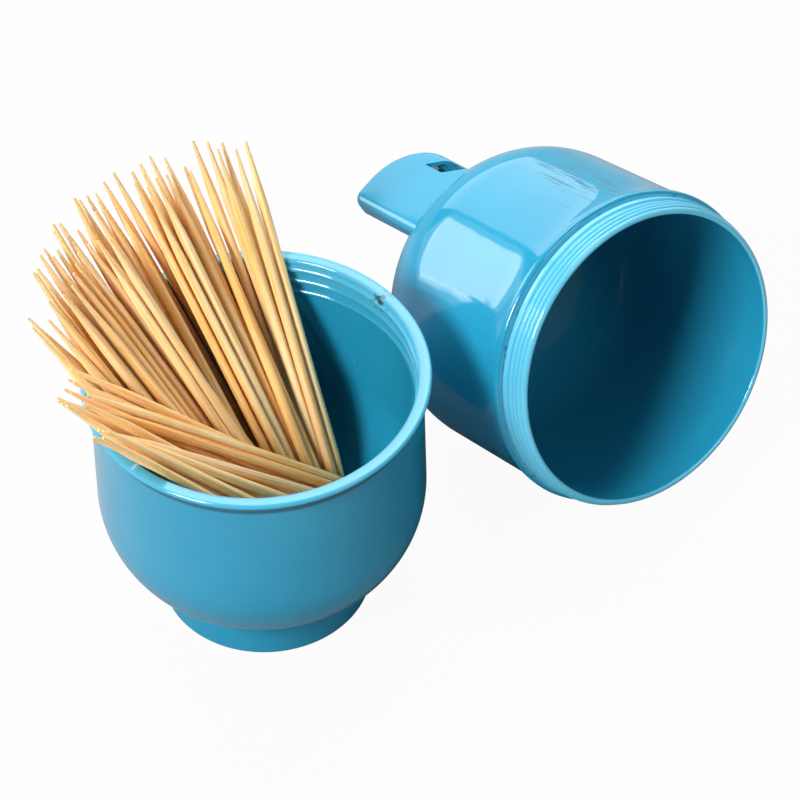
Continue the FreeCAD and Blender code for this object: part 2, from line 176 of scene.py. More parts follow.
def threadRidge(thread):
    # a helical ridge on a wall of the given radius; a negative height stands inwards
    s = ridgeShape
    half = thread["width"] / 2
    crest = thread["crest"] / 2
    wall = thread["wall"]
    sunk = wall - math.copysign(thread["sunk"], thread["height"])
    top = wall + thread["height"]
    shoulder = wall + thread["height"] * s["shoulder"]
    upper = [
        (sunk, half), (wall, half * s["footWidth"]),
        (shoulder, crest * s["shoulderWidth"]), (top, crest * s["topWidth"]),
    ]
    outline = [(r, -z) for r, z in upper] + upper[::-1]
    steps = int(thread["turns"] * s["stepsPerTurn"])
    drop = thread["pitch"] * thread["turns"] / steps
    mesh = bmesh.new()
    verts = [mesh.verts.new((r * mm, 0, (thread["start"] + z) * mm)) for r, z in outline]
    edges = [mesh.edges.new((a, b)) for a, b in zip(verts, verts[1:] + verts[:1])]
    bmesh.ops.spin(
        mesh, geom=verts + edges, cent=(0, 0, 0), axis=(0, 0, 1), dvec=(0, 0, -drop * mm),
        angle=math.radians(360 * thread["turns"]), steps=steps, use_merge=False,
    )
    bmesh.ops.rotate(
        mesh, verts=mesh.verts, cent=(0, 0, 0),
        matrix=Matrix.Rotation(math.radians(thread["startAngle"]), 3, "Z"),
    )
    # the ridge grows out of the wall at its ends; the verts come ring by ring
    mesh.verts.ensure_lookup_table()
    fade = thread["fade"] / 360 * s["stepsPerTurn"]
    for index, vert in enumerate(mesh.verts):
        ring = index // len(outline)
        near = min(min(ring, steps - ring) / fade, 1)
        grown = near ** 2 * (3 - 2 * near)
        height = s["leastHeight"] + (1 - s["leastHeight"]) * grown
        flat = Vector((vert.co.x, vert.co.y, 0))
        radius = wall + (flat.length / mm - wall) * height
        vert.co.xy = (flat.normalized() * (radius * mm)).xy
    bmesh.ops.holes_fill(mesh, edges=mesh.edges, sides=len(outline))
    bmesh.ops.recalc_face_normals(mesh, faces=mesh.faces)
    smoothExceptCreases(mesh, s["creaseAngle"])
    return mesh


# shader helpers

class Wire:
    # one node socket that can be used in arithmetic
    def __init__(self, finish, socket):
        self.finish = finish
        self.socket = socket

    def combine(self, operation, first, second):
        return self.finish.add("ShaderNodeMath", {"operation": operation}, {0: first, 1: second})

    def __add__(self, other):
        return self.combine("ADD", self, other)

    def __radd__(self, other):
        return self.combine("ADD", other, self)

    def __sub__(self, other):
        return self.combine("SUBTRACT", self, other)

    def __rsub__(self, other):
        return self.combine("SUBTRACT", other, self)

    def __mul__(self, other):
        return self.combine("MULTIPLY", self, other)

    def __rmul__(self, other):
        return self.combine("MULTIPLY", other, self)


class Finish:
    # a material built from nodes, with its principled shader ready to feed
    def __init__(self, name):
        self.material = bpy.data.materials.new(name)
        self.material.use_nodes = True
        self.tree = self.material.node_tree
        self.tree.nodes.clear()
        self.shader = self.tree.nodes.new("ShaderNodeBsdfPrincipled")
        self.surface = self.tree.nodes.new("ShaderNodeOutputMaterial").inputs["Surface"]
        self.tree.links.new(self.shader.outputs[0], self.surface)

    def feed(self, socket, value):
        self.plug(self.shader.inputs[socket], value)

    def plug(self, socket, value):
        if isinstance(value, Wire):
            self.tree.links.new(value.socket, socket)
        else:
            socket.default_value = value

    def add(self, kind, settings=None, values=None, output=0):
        node = self.tree.nodes.new(kind)
        for name, value in (settings or {}).items():
            if name == "stops":
                self.setStops(node.color_ramp, value)
            else:
                setattr(node, name, value)
        for name, value in (values or {}).items():
            self.plug(node.inputs[name], value)
        return Wire(self, node.outputs[output])

    def setStops(self, ramp, stops):
        while len(ramp.elements) < len(stops):
            ramp.elements.new(1)
        for element, (position, colour) in zip(ramp.elements, stops):
            element.position = position
            element.color = colour

    def mix(self, factor, first, second):
        # 0, 6, 7 and 2 are the sockets that the node uses for colours
        return self.add(
            "ShaderNodeMix", {"data_type": "RGBA"}, {0: factor, 6: first, 7: second}, output=2,
        )

    def cover(self, factor, under, over):
        return self.add("ShaderNodeMixShader", {}, {0: factor, 1: under, 2: over})

    def stored(self, name, output="Fac"):
        # an attribute of the mesh
        return self.add("ShaderNodeAttribute", {"attribute_name": name}, output=output)

    def stretched(self, where, scale):
        return self.add("ShaderNodeMapping", {}, {"Vector": where, "Scale": scale})

    def grainNoise(self, where, scale=1.0, detail=2, roughness=0.5):
        return self.add("ShaderNodeTexNoise", {}, {
            "Vector": where, "Scale": scale, "Detail": detail, "Roughness": roughness,
        })

    def remap(self, value, fromLow, fromHigh, toLow=0, toHigh=1):
        return self.add("ShaderNodeMapRange", {}, {
            "Value": value, "From Min": fromLow, "From Max": fromHigh,
            "To Min": toLow, "To Max": toHigh,
        })

    def bump(self, height, strength, distance):
        return self.add("ShaderNodeBump", {}, {
            "Height": height, "Strength": strength, "Distance": distance,
        })


def linear(red, green, blue):
    # 8-bit screen colour to the renderer's linear one
    def channel(value):
        value /= 255
        return value / 12.92 if value <= 0.04045 else ((value + 0.055) / 1.055) ** 2.4
    return (channel(red), channel(green), channel(blue), 1)


# cup

cupShape = {
    "height": 46.3, "bore": 24.9, "wall": 0.8, "bowlHeight": 22.9, "bowlCurve": 17.0,
    "footRadius": 16.5, "footNeck": 15.9, "footWall": 1.4, "recess": 6.2, "floor": 1.2,
    "footRounds": {1: 0.4, 2: 0.4, 3: 0.4},
    "footRings": ((0.09, 1.05), (0.03, 0.15)),      # out from the neck, down from the joint
    "jointAngle": 0.8,                              # where the bowl starts, past the joint
    "lipRadius": 27.0, "lipThickness": 0.8,
    "grooveDepth": 0.55, "grooveHeight": 0.6, "grooveSlope": 0.15,
    "lipRounds": {1: 0.12, 2: 0.1, 3: 0.08, 4: 0.2, 5: 0.5, 6: 0.45},
    # extra rings, so that the marks, painted glow and shade among them, end where they should
    "creaseFoot": 43.0, "creaseTop": 43.45, "threadFoot": 38.4, "floorRing": 1.2,
    "outerSteps": 30, "innerSteps": 26, "steps": 192,
}


def jointHeight():
    # where the foot ring meets the bowl
    s = cupShape
    out = s["footNeck"] - (s["bore"] - s["bowlCurve"])
    return s["bowlHeight"] - math.sqrt((s["bowlCurve"] + s["wall"]) ** 2 - out ** 2)


def makeCup():
    s = cupShape
    centre = s["bore"] - s["bowlCurve"]
    outerCurve = s["bowlCurve"] + s["wall"]
    outer = s["bore"] + s["wall"]
    floorHeight = s["recess"] + s["floor"]
    footInner = s["footRadius"] - s["footWall"]
    neckAngle = -math.degrees(math.acos((s["footNeck"] - centre) / outerCurve))
    floorAngle = -math.degrees(math.asin((s["bowlHeight"] - floorHeight) / s["bowlCurve"]))
    under = s["height"] - s["lipThickness"]
    neck = [(s["footNeck"] + out, jointHeight() - down) for out, down in s["footRings"]]
    foot = roundCorners(
        [(0, s["recess"]), (footInner, s["recess"]), (footInner, 0), (s["footRadius"], 0)] + neck,
        s["footRounds"],
    )
    bowl = arc(centre, s["bowlHeight"], outerCurve, neckAngle + s["jointAngle"], 0, s["outerSteps"])
    bowl += [(outer, s["creaseFoot"]), (outer, s["creaseTop"])]
    lip = roundCorners([
        (outer, s["bowlHeight"]),
        (outer, under - s["grooveHeight"]),
        (outer - s["grooveDepth"], under - s["grooveHeight"] + s["grooveSlope"]),
        (outer - s["grooveDepth"], under),
        (s["lipRadius"], under),
        (s["lipRadius"], s["height"]),
        (s["bore"], s["height"]),
        (s["bore"], s["bowlHeight"]),
    ], s["lipRounds"])
    inside = arc(centre, s["bowlHeight"], s["bowlCurve"], 0, floorAngle, s["innerSteps"])
    wall = lip[1:-1] + [(s["bore"], s["threadFoot"])] + inside
    floor = [(inside[-1][0] - s["floorRing"], floorHeight), (0, floorHeight)]
    mesh = lathe(foot + bowl + wall + floor, s["steps"])
    smoothExceptCreases(mesh)
    return toObject(mesh, "cupSkin")


cupThread = {
    "wall": cupShape["bore"], "height": -0.55, "width": 1.3, "crest": 0.5, "sunk": 0.3,
    "pitch": 2.4, "turns": 3.1, "start": 45.15, "startAngle": -8, "fade": 24,
}

cup = makeCup()
cupRidge = toObject(threadRidge(cupThread), "cupThread")
print("cup turned")


# lid, drawn with its mouth at the origin and its axis up

lidShape = {
    "neckOuter": 24.65, "neckInner": 23.6, "neckLength": 5.2,
    "bandRadius": 25.08, "bandFoot": 3.6, "bandSlope": 0.15,
    "grooveDepth": 0.35, "grooveHeight": 0.5, "collarRadius": 25.8, "collarTop": 6.4,
    "neckRounds": {1: 0.4, 2: 0.62, 3: 0.06, 4: 0.12, 5: 0.12, 6: 0.08, 7: 0.08, 8: 0.6},
    "sideRadius": 25.2, "flare": 0.52, "flareTop": 13.0, "flareSteps": 12,
    "sideRings": (18.0, 23.4),
    "shoulderRadius": 24.7, "shoulderHeight": 28.8, "shoulderCurve": 16.1,
    "crownCurve": 37.8, "wall": 1.1,
    "outerSteps": (36, 22), "innerSteps": (26, 16),      # of the shoulder and the crown
    "steps": 224,
}

# how it lies beside the cup
lidPlace = {
    "heading": 129.4,      # from the mouth to the crown, about z
    "rise": 17.2,
    "roll": -20,
    "gap": 4.1,            # between the lip and the lid's side
    "lead": 26.8,          # the mouth's, past the cup
}


def lidMatrix():
    s = lidShape
    rise = math.radians(lidPlace["rise"])
    shoulderCentre = s["shoulderRadius"] - s["shoulderCurve"]
    height = (
        s["shoulderHeight"] * math.sin(rise) + shoulderCentre * math.cos(rise) + s["shoulderCurve"]
    )
    apart = cupShape["lipRadius"] + s["sideRadius"] + lidPlace["gap"]
    heading = math.radians(lidPlace["heading"])
    side = Matrix.Rotation(heading - math.pi / 2, 4, "Z") @ Vector((apart, 0, 0))
    lead = Matrix.Rotation(heading, 4, "Z") @ Vector((-lidPlace["lead"], 0, 0))
    turn = (
        Matrix.Rotation(heading, 4, "Z")
        @ Matrix.Rotation(math.pi / 2 + rise, 4, "Y")
        @ Matrix.Rotation(math.radians(180 + lidPlace["roll"]), 4, "Z")
    )
    return Matrix.Translation((side + lead + Vector((0, 0, height))) * mm) @ turn


def makeLid(place):
    s = lidShape
    shoulderCentre = s["shoulderRadius"] - s["shoulderCurve"]
    between = s["crownCurve"] - s["shoulderCurve"]
    crownCentre = s["shoulderHeight"] - math.sqrt(between ** 2 - shoulderCentre ** 2)
    joinAngle = math.degrees(math.atan2(s["shoulderHeight"] - crownCentre, shoulderCentre))
    grooveFoot = s["neckLength"] - s["grooveHeight"]
    grooveRadius = s["neckOuter"] - s["grooveDepth"]
    neck = roundCorners([
        (s["neckInner"], s["collarTop"]),
        (s["neckInner"], 0),
        (s["neckOuter"], 0),
        (s["neckOuter"], s["bandFoot"]),
        (s["bandRadius"], s["bandFoot"] + s["bandSlope"]),
        (s["bandRadius"], grooveFoot),
        (grooveRadius, grooveFoot),
        (grooveRadius, s["neckLength"]),
        (s["collarRadius"], s["neckLength"]),
        (s["collarRadius"], s["collarTop"]),
    ], s["neckRounds"])

    def sideAt(height):
        # its radius, which shrinks from the collar to the shoulder
        up = (height - s["collarTop"]) / (s["shoulderHeight"] - s["collarTop"])
        return s["sideRadius"] + (s["shoulderRadius"] - s["sideRadius"]) * up

    def dome(inset, shoulderSteps, crownSteps):
        shoulder = arc(
            shoulderCentre, s["shoulderHeight"], s["shoulderCurve"] - inset,
            0, joinAngle, shoulderSteps,
        )
        crown = arc(0, crownCentre, s["crownCurve"] - inset, joinAngle, 90, crownSteps)
        return shoulder + crown[1:]

    side = []
    for i in range(s["flareSteps"] + 1):
        share = i / s["flareSteps"]
        height = s["collarTop"] + (s["flareTop"] - s["collarTop"]) * share
        side.append((sideAt(height) + s["flare"] * (1 - share) ** 3, height))
    side += [(sideAt(height), height) for height in s["sideRings"]]
    outside = dome(0, *s["outerSteps"])
    inside = dome(s["wall"], *s["innerSteps"])[::-1]
    mesh = lathe(neck[:-1] + side + outside + inside + [neck[0]], s["steps"])
    smoothExceptCreases(mesh)
    return toObject(mesh, "lidDome", place)


neckThread = {
    "wall": lidShape["neckOuter"], "height": 0.32, "width": 0.8, "crest": 0.26, "sunk": 0.3,
    "pitch": 0.93, "turns": 2.9, "start": 3.5, "startAngle": 110, "fade": 20,
}

spoutShape = {
    "face": 21.3, "width": 13.9, "thickness": 4.0, "wall": 0.8, "base": 36.0, "nose": 54.0,
    "round": 1.2, "sweep": 9.2, "sweepSteps": 28, "corner": 2.0, "cornerSteps": 10,
    "channelRound": 0.5, "clearance": 0.12, "creaseAngle": 40,
    "windowLength": 4.4, "windowWidth": 2.45, "windowHeight": 42.0, "windowOffset": 5.22,
    "windowSlant": 1.51, "windowCorner": 0.3,
    # how far the cutting blocks reach past the spout
    "channelPast": 5, "windowPast": 3, "portPast": 10,
}


def makeSpout(place):
    s = spoutShape
    half = s["width"] / 2
    back = s["face"] - s["thickness"]
    mesh = slab((back, -half, s["base"]), (s["face"], half, s["nose"]))
    near = 0.01      # mm
    for side, radius, segments in (
        (1, s["sweep"], s["sweepSteps"]), (-1, s["corner"], s["cornerSteps"]),
    ):
        edges = [
            e for e in mesh.edges if all(
                v.co.z > (s["nose"] - near) * mm and v.co.y * side > (half - near) * mm
                for v in e.verts
            )
        ]
        roundEdges(mesh, edges, radius, segments)
    rim = [
        e for e in mesh.edges
        if max(v.co.z for v in e.verts) > (s["base"] + near) * mm
        and abs(e.verts[0].co.x - e.verts[1].co.x) < 1e-7
    ]
    roundEdges(mesh, rim, s["round"], 7, clamp=True)
    bmesh.ops.recalc_face_normals(mesh, faces=mesh.faces)
    spout = toObject(mesh, "spoutChute")
    inner = half - s["wall"]
    channel = slab(
        (back + s["wall"], -inner, s["base"] - s["channelPast"]),
        (s["face"] - s["wall"], inner, s["nose"] + s["channelPast"]),
        s["channelRound"],
    )
    carve(spout, toObject(channel, "channelTool"))
    halfLength = s["windowLength"] / 2
    halfWidth = s["windowWidth"] / 2
    window = slab(
        (back - s["windowPast"], -halfWidth, -halfLength),
        (s["face"] + s["windowPast"], halfWidth, halfLength),
        s["windowCorner"], along="X",
    )
    slant = Matrix.Identity(4)
    slant[2][1] = -s["windowSlant"]
    shift = Matrix.Translation((0, s["windowOffset"] * mm, s["windowHeight"] * mm))
    carve(spout, toObject(window, "windowTool", shift @ slant))
    creaseAgain(spout, s["creaseAngle"])
    spout.data.transform(place)
    return spout


def spoutPort(place):
    # the hole in the dome that the spout sits in
    s = spoutShape
    gap = s["clearance"]
    half = s["width"] / 2 + gap
    back = s["face"] - s["thickness"] - gap
    block = slab(
        (back, -half, s["base"] - gap), (s["face"] + gap, half, s["nose"] + s["portPast"]),
        s["round"] + gap,
    )
    return toObject(block, "portTool", place)


lidAt = lidMatrix()
lid = makeLid(lidAt)
carve(lid, spoutPort(lidAt))
creaseAgain(lid)
neckRidge = toObject(threadRidge(neckThread), "neckThread", lidAt)
spout = makeSpout(lidAt)
print("lid and spout made")


# toothpicks

pickShape = {
    "radius": 0.86, "tipRadius": 0.22, "taper": 11.0, "bend": 0.12, "sides": 16, "rings": 26,
    "creaseAngle": 50,
    "crowding": 0.55,            # of the rings, towards the tapered ends
    "squareness": 0.35, "dents": 0.05, "dentScale": (1.6, 90), "grainShift": 90,
    "endDepth": 0.35,            # how much of a solid counts as its end
    # what each pick draws its own value from
    "squash": (0.86, 1.0), "bendShare": (0.3, 1), "blunt": (0.7, 1.2),
    "lowTaper": (0.85, 1.1), "highTaper": (0.85, 1.15),
}


def islands(data):
    # vertex groups that are joined by edges, one for each solid of a node
    mesh = bmesh.new()
    mesh.from_mesh(data)
    bmesh.ops.remove_doubles(mesh, verts=mesh.verts, dist=1e-6)
    taken = set()
    found = []
    for first in mesh.verts:
        if first in taken:
            continue
        taken.add(first)
        stack = [first]
        group = []
        while stack:
            vert = stack.pop()
            group.append(vert.co.copy())
            for edge in vert.link_edges:
                other = edge.other_vert(vert)
                if other not in taken:
                    taken.add(other)
                    stack.append(other)
        found.append(group)
    mesh.free()
    return found


def endsOf(points):
    # the middles of the two far ends of a long thin solid, the lower one first
    middle = sum(points, Vector()) / len(points)
    far = max(points, key=lambda p: (p - middle).length)
    way = (far - middle).normalized()
    reach = [(p - middle).dot(way) for p in points]
    ends = []
    for limit in (min(reach), max(reach)):
        near = [p for p, r in zip(points, reach) if abs(r - limit) < pickShape["endDepth"] * mm]
        ends.append(sum(near, Vector()) / len(near))
    return sorted(ends, key=lambda p: p.z)


def pickMesh(length, seed):
    s = pickShape
    dice = random.Random(seed)
    mesh = bmesh.new()
    bmesh.ops.create_circle(mesh, segments=s["sides"], radius=1, cap_ends=False)
    grain = mesh.loops.layers.uv.new("grain")
    rim = list(mesh.edges)
    for _ in range(s["rings"]):
        grown = bmesh.ops.extrude_edge_only(mesh, edges=rim)["geom"]
        rim = [g for g in grown if isinstance(g, bmesh.types.BMEdge)]
        verts = [g for g in grown if isinstance(g, bmesh.types.BMVert)]
        bmesh.ops.translate(mesh, vec=(0, 0, 1), verts=verts)
    bmesh.ops.recalc_face_normals(mesh, faces=mesh.faces)
    # grain coordinates while the pick is still a plain tube: u round it, v along it in cm
    shift = Vector((dice.uniform(0, s["grainShift"]), dice.uniform(0, s["grainShift"])))
    for face in mesh.faces:
        around = [math.atan2(c.vert.co.y, c.vert.co.x) / math.tau % 1 for c in face.loops]
        wraps = max(around) - min(around) > 0.5
        for corner, u in zip(face.loops, around):
            u += 1 if wraps and u < 0.5 else 0
            v = corner.vert.co.z / s["rings"] * length / cm
            corner[grain].uv = Vector((u, v)) + shift
    bmesh.ops.holes_fill(mesh, edges=mesh.edges, sides=s["sides"])
    squash = dice.uniform(*s["squash"])
    turn = dice.uniform(0, math.tau)
    lean = dice.uniform(0, math.tau)
    bend = dice.uniform(*s["bendShare"]) * s["bend"] * mm
    taperLow = s["taper"] * dice.uniform(*s["lowTaper"])
    taperHigh = s["taper"] * dice.uniform(*s["highTaper"])
    tipLow = s["tipRadius"]
    tipHigh = s["tipRadius"] * dice.uniform(*s["blunt"])
    # the tube takes its length, tapers, squarish section, dents and slight bow
    tips = mesh.verts.layers.float.new("tip")
    for vert in mesh.verts:
        share = vert.co.z / s["rings"]
        eased = 0.5 - 0.5 * math.cos(math.pi * share)
        along = ((1 - s["crowding"]) * share + s["crowding"] * eased) * length
        angle = math.atan2(vert.co.y, vert.co.x)
        fromLow = min(along / mm / taperLow, 1)
        fromHigh = min((length - along) / mm / taperHigh, 1)
        vert[tips] = max(1 - fromLow, 1 - fromHigh)
        low = tipLow + (s["radius"] - tipLow) * fromLow
        high = tipHigh + (s["radius"] - tipHigh) * fromHigh
        flat = max(abs(math.cos(angle - turn)), abs(math.sin(angle - turn)))
        square = (0.71 / flat) ** s["squareness"]      # flat is 0.71 at the corners
        squashed = 1 - (1 - squash) * math.cos(angle - turn) ** 2
        aroundScale, alongScale = s["dentScale"]
        spot = Vector((math.cos(angle) * aroundScale, along * alongScale, seed))
        dented = 1 - s["dents"] * abs(noise.noise(spot))
        radius = min(low, high) * square * squashed * dented * mm
        bow = math.sin(math.pi * along / length) * bend
        vert.co = Vector((
            math.cos(angle) * radius + math.cos(lean) * bow,
            math.sin(angle) * radius + math.sin(lean) * bow,
            along,
        ))
    smoothExceptCreases(mesh, s["creaseAngle"])
    return mesh


def makePicks():
    picks = []
    names = sorted(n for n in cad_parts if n.startswith("toothpick"))
    seed = 0
    for name in names:
        ends = [endsOf(points) for points in islands(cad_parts[name].data)]
        # in the order of their lower ends, so that each run is the same
        for index, (low, high) in enumerate(sorted(ends, key=lambda pair: pair[0].x)):
            seed += 1
            way = high - low
            place = Matrix.Translation(low) @ way.to_track_quat("Z", "Y").to_matrix().to_4x4()
            label = name.replace("toothpick", "pick") + (chr(ord("a") + index) if index else "")
            pick = toObject(pickMesh(way.length, seed), label, place)
            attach(pick, "toothpicks")
            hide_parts(name)
            picks.append(pick)
    return picks


picks = makePicks()
print("toothpicks:", len(picks))


# wear and dirt, and painted glow and shade, stored on the vertices for the plastic

# a rubbed flank, and painted glow on the neck: lighter colour in place of the light its narrow wall
# lets through
lidRubAndPaintedGlow = {
    "angle": 34, "spread": 16, "low": 4.4, "high": 29.0, "fullness": 0.4,
    "thinNeck": 0.58,
    "flankSkin": 0.5, "neckSkin": 0.1,      # only what is this far outside the bore
}

# painted glow on the lip and thread, a fleck of dirt, and painted shade in the recess under the lip
# and at the joint over the foot
cupSoilAndPaintedLight = {
    "thinLip": 0.34, "lipDepth": 1.167, "thinThread": 0.3, "threadDepth": 7.0,
    "soilAt": (19.2, 16.4, 45.3), "soilSize": 2.0,
    "creaseFade": 0.5, "creaseLeast": 0.3,
    "footCrease": 1.0, "footReach": 17.0,
}


def store(piece, name, values):
    piece.data.attributes.new(name, "FLOAT", "POINT").data.foreach_set("value", values)


def turnedCoordinates(piece, place):
    # turned: the way round the axis as a unit vector, and the height in cm
    back = place.inverted()
    values = []
    for vert in piece.data.vertices:
        own = back @ vert.co
        flat = max(math.hypot(own.x, own.y), 1e-6)
        values += [own.x / flat, own.y / flat, own.z / cm]
    piece.data.attributes.new("turned", "FLOAT_VECTOR", "POINT").data.foreach_set("vector", values)


def lidMarks(piece, place):
    # rubbed: a patch on one flank, fading round and along the axis; thin: painted glow, lighter
    # colour on the neck and its edge in place of light through the wall
    s = lidRubAndPaintedGlow
    back = place.inverted()
    bore = lidShape["neckInner"]
    rubbed, thin = [], []
    for vert in piece.data.vertices:
        own = back @ vert.co / mm
        radius = math.hypot(own.x, own.y)
        away = (math.degrees(math.atan2(own.y, own.x)) - s["angle"] + 180) % 360 - 180
        along = (own.z - s["low"]) / (s["high"] - s["low"])
        strength = 0
        if 0 < along < 1 and radius > bore + s["flankSkin"]:
            strength = math.exp(-(away / s["spread"]) ** 2)
            strength *= math.sin(math.pi * along) ** s["fullness"]
        rubbed.append(strength)
        neck = own.z < lidShape["neckLength"] and radius > bore + s["neckSkin"]
        thin.append(s["thinNeck"] if neck else 0)
    store(piece, "rubbed", rubbed)
    store(piece, "thin", thin)


def cupMarks(piece):
    # thin: painted glow, lighter colour on the lip and the thread inside it in place of light
    # through the wall; soiled: one spot of the lip
    # creased: painted shade on the wall just under the lip and at the joint of bowl and foot
    s = cupSoilAndPaintedLight
    spot = Vector(s["soilAt"])
    joint = jointHeight()
    insideWall = cupShape["bore"] + cupShape["wall"] / 4
    outsideWall = cupShape["bore"] + cupShape["wall"] + 0.3      # the lip stands further out
    thin, soiled, creased = [], [], []
    for vert in piece.data.vertices:
        own = vert.co / mm
        radius = math.hypot(own.x, own.y)
        depth = cupShape["height"] - own.z
        outside = radius > insideWall
        edge = s["thinLip"] * max(0, 1 - depth / s["lipDepth"])
        thread = s["thinThread"] * max(0, 1 - depth / s["threadDepth"])
        thin.append(edge if outside else max(edge, thread))
        soiled.append(math.exp(-((own - spot).length / s["soilSize"]) ** 2))
        above = own.z - cupShape["creaseTop"]
        if outside and above > -0.1 and radius < outsideWall:
            creased.append(max(s["creaseLeast"], 1 - s["creaseFade"] * above))
        elif radius < s["footReach"]:
            creased.append(max(0, 1 - abs(own.z - joint) / s["footCrease"]))
        else:
            creased.append(0)
    store(piece, "thin", thin)
    store(piece, "soiled", soiled)
    store(piece, "creased", creased)


# finishes

plasticLook = {
    "colour": linear(34, 141, 175),
    "deep": linear(30, 134, 168),
    # thin is a painted glow on the neck, lip and threads, and crease is painted shade under the lip
    # and over the foot
    "thin": linear(116, 208, 236),
    "crease": linear(14, 68, 88), "creaseShare": 0.85,
    "dust": linear(150, 200, 215),
    "rubbed": linear(18, 106, 134),
    "soil": linear(46, 38, 30),
    "ior": 1.5,
    "roughness": 0.05, "fineRough": 0.06, "hairlineRough": 0.05, "dustRough": 0.4, "wornRough": 0.35,
    # scales of the noises; three numbers are round the axis twice and along it
    "clouds": 38, "motes": 420, "dusty": 55, "specks": 1300, "fine": 900, "waves": 60,
    "scuffs": (52, 52, 1.3), "hairlines": (1.5, 1.5, 90), "flow": (26, 26, 0.35),
    "bumpStrength": 0.25, "bumpHeight": 0.0006,
}


def bluePlastic():
    s = plasticLook
    finish = Finish("bluePlastic")
    finish.feed("IOR", s["ior"])
    where = finish.add("ShaderNodeTexCoord", output="Object")
    turned = finish.stored("turned", output="Vector")
    # slow clouds in the colour, as from uneven mixing
    clouds = finish.remap(finish.grainNoise(where, s["clouds"], 4, 0.55), 0.35, 0.7)
    body = finish.mix(clouds, s["colour"], s["deep"])
    # thin marks along the axis where the lid is rubbed
    patch = finish.stored("rubbed")
    scuffs = finish.grainNoise(finish.stretched(turned, s["scuffs"]))
    worn = finish.remap(scuffs + patch * 0.12, 0.66, 0.70) * patch
    body = finish.mix(worn, body, s["rubbed"])
    # painted glow: the neck, lip and threads turn lighter in place of light let through the wall
    body = finish.mix(finish.stored("thin"), body, s["thin"])
    soiled = finish.stored("soiled")
    specks = finish.grainNoise(where, s["specks"], 2, 0.6)
    body = finish.mix(finish.remap(specks + soiled * 0.3, 0.73, 0.77) * soiled, body, s["soil"])
    # painted shade: darker colour in the recess under the lip and at the joint of bowl and foot
    body = finish.mix(finish.stored("creased") * s["creaseShare"], body, s["crease"])
    # a few motes of dust, more in some places than in others
    motes = finish.add("ShaderNodeTexVoronoi", {}, {"Vector": where, "Scale": s["motes"]})
    dusty = finish.remap(finish.grainNoise(where, s["dusty"]), 0.6, 0.68)
    dust = finish.remap(motes, 0.10, 0.02, 0, 0.3) * dusty
    finish.feed("Base Color", finish.mix(dust, body, s["dust"]))
    # hairlines round the axis and faint flow lines along it
    turning = finish.grainNoise(finish.stretched(turned, s["hairlines"]), 1.0, 4, 0.7)
    hairlines = finish.remap(turning, 0.58, 0.7)
    streaks = finish.grainNoise(finish.stretched(turned, s["flow"]), 1.0, 3, 0.6)
    fine = finish.grainNoise(where, s["fine"], 3, 0.6)
    finish.feed("Roughness", (
        s["roughness"] + fine * s["fineRough"] + hairlines * s["hairlineRough"]
        + dust * s["dustRough"] + worn * s["wornRough"]
    ))
    waves = finish.grainNoise(where, s["waves"])
    height = waves + streaks * 0.05 + hairlines * 0.002 + fine * 0.001
    finish.feed("Normal", finish.bump(height, s["bumpStrength"], s["bumpHeight"]))
    return finish.material


bambooLook = {
    "pale": linear(255, 232, 182),
    "tan": linear(255, 202, 120),
    "brown": linear(240, 154, 74),
    "pink": linear(250, 186, 138),
    "tip": linear(246, 212, 158),
    "fleck": linear(130, 74, 36),
    # scales round the pick and along it
    "fibres": (9, 0.4, 1), "bands": (2.6, 0.3, 1), "flecks": (16, 1.4, 1),
    "own": (0.11, 0.02, 1),      # so slow that each pick has nearly one value
    "roughest": 0.62, "smoothest": 0.48, "bumpStrength": 0.8, "bumpHeight": 0.0003,
}


def bamboo():
    s = bambooLook
    finish = Finish("bamboo")
    where = finish.add("ShaderNodeUVMap", {"uv_map": "grain"})
    fibres = finish.grainNoise(finish.stretched(where, s["fibres"]), 1.0, 5, 0.75)
    bands = finish.grainNoise(finish.stretched(where, s["bands"]))
    own = finish.stretched(where, s["own"])
    tone = finish.grainNoise(own, 1.0, 1)
    hue = finish.grainNoise(own, 2.3, 1)
    wood = finish.add("ShaderNodeValToRGB", {"stops": [
        (0.40, s["brown"]), (0.50, s["tan"]), (0.60, s["pale"]),
    ]}, {"Fac": fibres * 0.6 + bands * 0.15 + tone * 0.3})
    wood = finish.mix(finish.remap(hue, 0.5, 0.7, 0, 0.5), wood, s["pink"])
    wood = finish.mix(finish.remap(finish.stored("tip"), 0.1, 0.8, 0, 0.65), wood, s["tip"])
    flecks = finish.grainNoise(finish.stretched(where, s["flecks"]), 2.2)
    wood = finish.mix(finish.remap(flecks, 0.70, 0.78, 0, 0.5), wood, s["fleck"])
    finish.feed("Base Color", wood)
    finish.feed("Roughness", finish.remap(fibres, 0.3, 0.7, s["roughest"], s["smoothest"]))
    finish.feed("Normal", finish.bump(fibres, s["bumpStrength"], s["bumpHeight"]))
    return finish.material


for piece in (cup, cupRidge):
    turnedCoordinates(piece, Matrix.Identity(4))
    cupMarks(piece)
for piece in (lid, neckRidge, spout):
    turnedCoordinates(piece, lidAt)
lidMarks(lid, lidAt)
# painted glow on the neck thread, the same as on the neck
store(neckRidge, "thin", [lidRubAndPaintedGlow["thinNeck"]] * len(neckRidge.data.vertices))

plastic = bluePlastic()
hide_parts("cup")
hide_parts("lid_shell")
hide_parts("spout")
for piece, body in (
    (cup, "cup"), (cupRidge, "cup"), (lid, "lid"), (neckRidge, "lid"), (spout, "lid"),
):
    piece.data.materials.append(plastic)
    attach(piece, body)
wood = bamboo()
for pick in picks:
    pick.data.materials.append(wood)
print("finishes on")


# floor, light and camera

stage = {
    "floorSize": 6.0, "floorColour": (0.42, 0.42, 0.42, 1), "floorRoughness": 0.9,
    "white": 0.95,                                  # how white the camera sees the floor
    "fill": 0.19, "shown": 1.0, "mirrored": 0.15,   # the world as light, backdrop and in gloss
    "dim": 0.85, "dimCentre": (-0.055, -0.035, 0), "dimFrom": 0.11, "dimTo": 0.04,
    "sweep": 0.55, "sweepFrom": 0.07, "sweepTo": 0.16,
}

